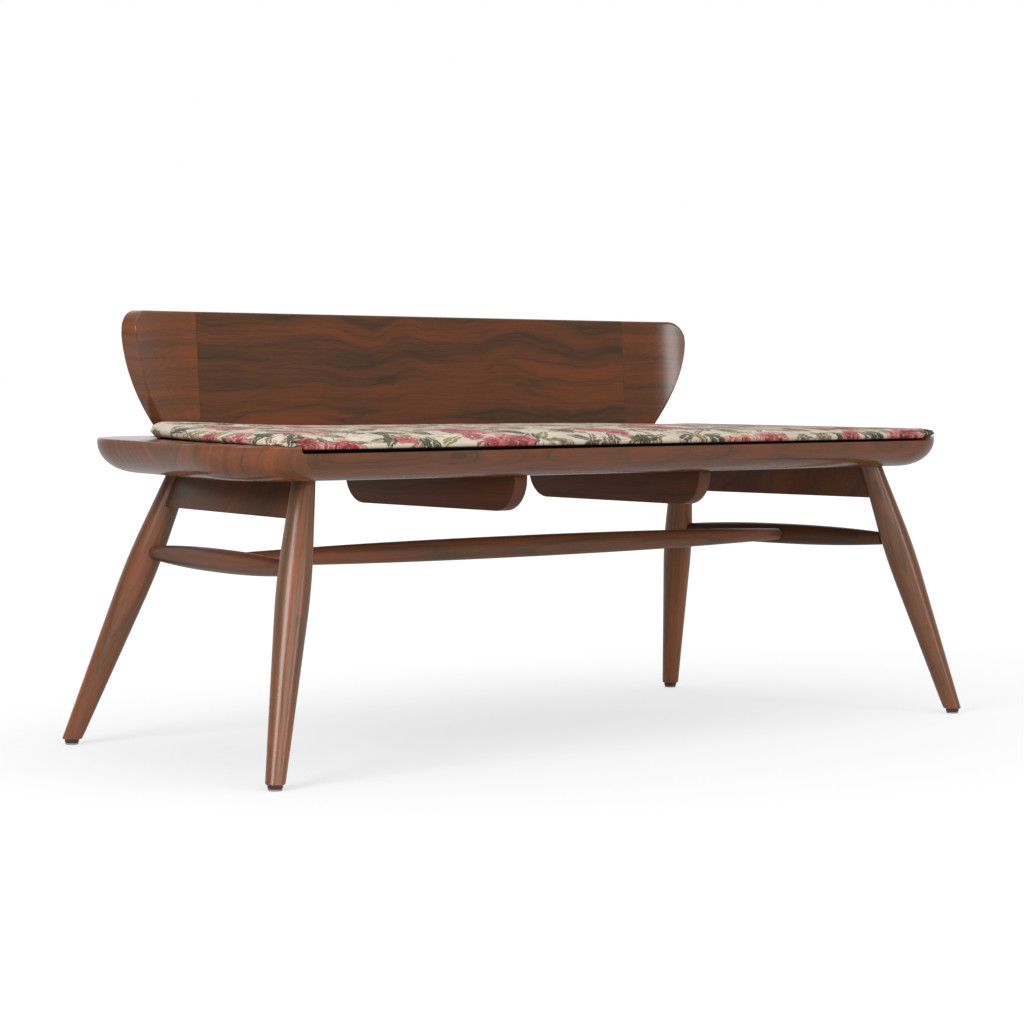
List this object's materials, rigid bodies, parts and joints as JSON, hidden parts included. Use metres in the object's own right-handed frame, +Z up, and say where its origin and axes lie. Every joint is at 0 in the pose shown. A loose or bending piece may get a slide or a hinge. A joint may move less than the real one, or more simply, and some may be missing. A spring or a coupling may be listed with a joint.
{
  "type": "teak bench",
  "caption": "Low dark teak bench: thick rounded seat, curved low backrest, splayed turned legs, turned stretchers and a thin loose floral seat cushion.",
  "frame": {"origin": "on the floor under the middle of the bench", "axes": "+X along the seat, to the left hand of someone sitting on it, +Y from the front edge to the backrest, +Z up"},
  "size_m": [1.4522, 0.584, 0.6264],
  "materials": {
    "teak": "dark stained, satin",
    "underside_teak": "dark stained",
    "beech_dowel": "raw",
    "zinc_steel": "zinc plated",
    "glide_plastic": "moulded",
    "sole_felt": "felt",
    "printed_cotton": "printed, woven"
  },
  "bodies": {
    "bench": {"apron_left": "underside_teak", "apron_right": "underside_teak", "apron_screw_left_1": "zinc_steel", "apron_screw_left_2": "zinc_steel", "apron_screw_right_1": "zinc_steel", "apron_screw_right_2": "zinc_steel", "backrest_centre_panel": "teak", "backrest_edge_dowel_left_1": "beech_dowel", "backrest_edge_dowel_left_2": "beech_dowel", "backrest_edge_dowel_right_1": "beech_dowel", "backrest_edge_dowel_right_2": "beech_dowel", "backrest_end_left": "teak", "backrest_end_right": "teak", "backrest_seat_dowel_1": "beech_dowel", "backrest_seat_dowel_2": "beech_dowel", "backrest_seat_dowel_3": "beech_dowel", "backrest_seat_dowel_4": "beech_dowel", "backrest_seat_dowel_5": "beech_dowel", "backrest_seat_dowel_6": "beech_dowel", "batten_screw_left_1": "zinc_steel", "batten_screw_left_2": "zinc_steel", "batten_screw_left_3": "zinc_steel", "batten_screw_right_1": "zinc_steel", "batten_screw_right_2": "zinc_steel", "batten_screw_right_3": "zinc_steel", "centre_stretcher": "teak", "cross_batten_left": "underside_teak", "cross_batten_right": "underside_teak", "end_stretcher_left": "teak", "end_stretcher_right": "teak", "glide_back_left": "glide_plastic", "glide_back_right": "glide_plastic", "glide_front_left": "glide_plastic", "glide_front_right": "glide_plastic", "glide_sole_back_left": "sole_felt", "glide_sole_back_right": "sole_felt", "glide_sole_front_left": "sole_felt", "glide_sole_front_right": "sole_felt", "leg_back_left": "teak", "leg_back_right": "teak", "leg_front_left": "teak", "leg_front_right": "teak", "seat_slab": "teak"},
    "cushion": {"seat_cushion": "printed_cotton"}
  },
  "joints": [
    {"name": "cushion_lift", "type": "slide", "parent": "bench", "child": "cushion", "axis": [0, 0, 1], "range_m": [0, 0.12]}
  ]
}
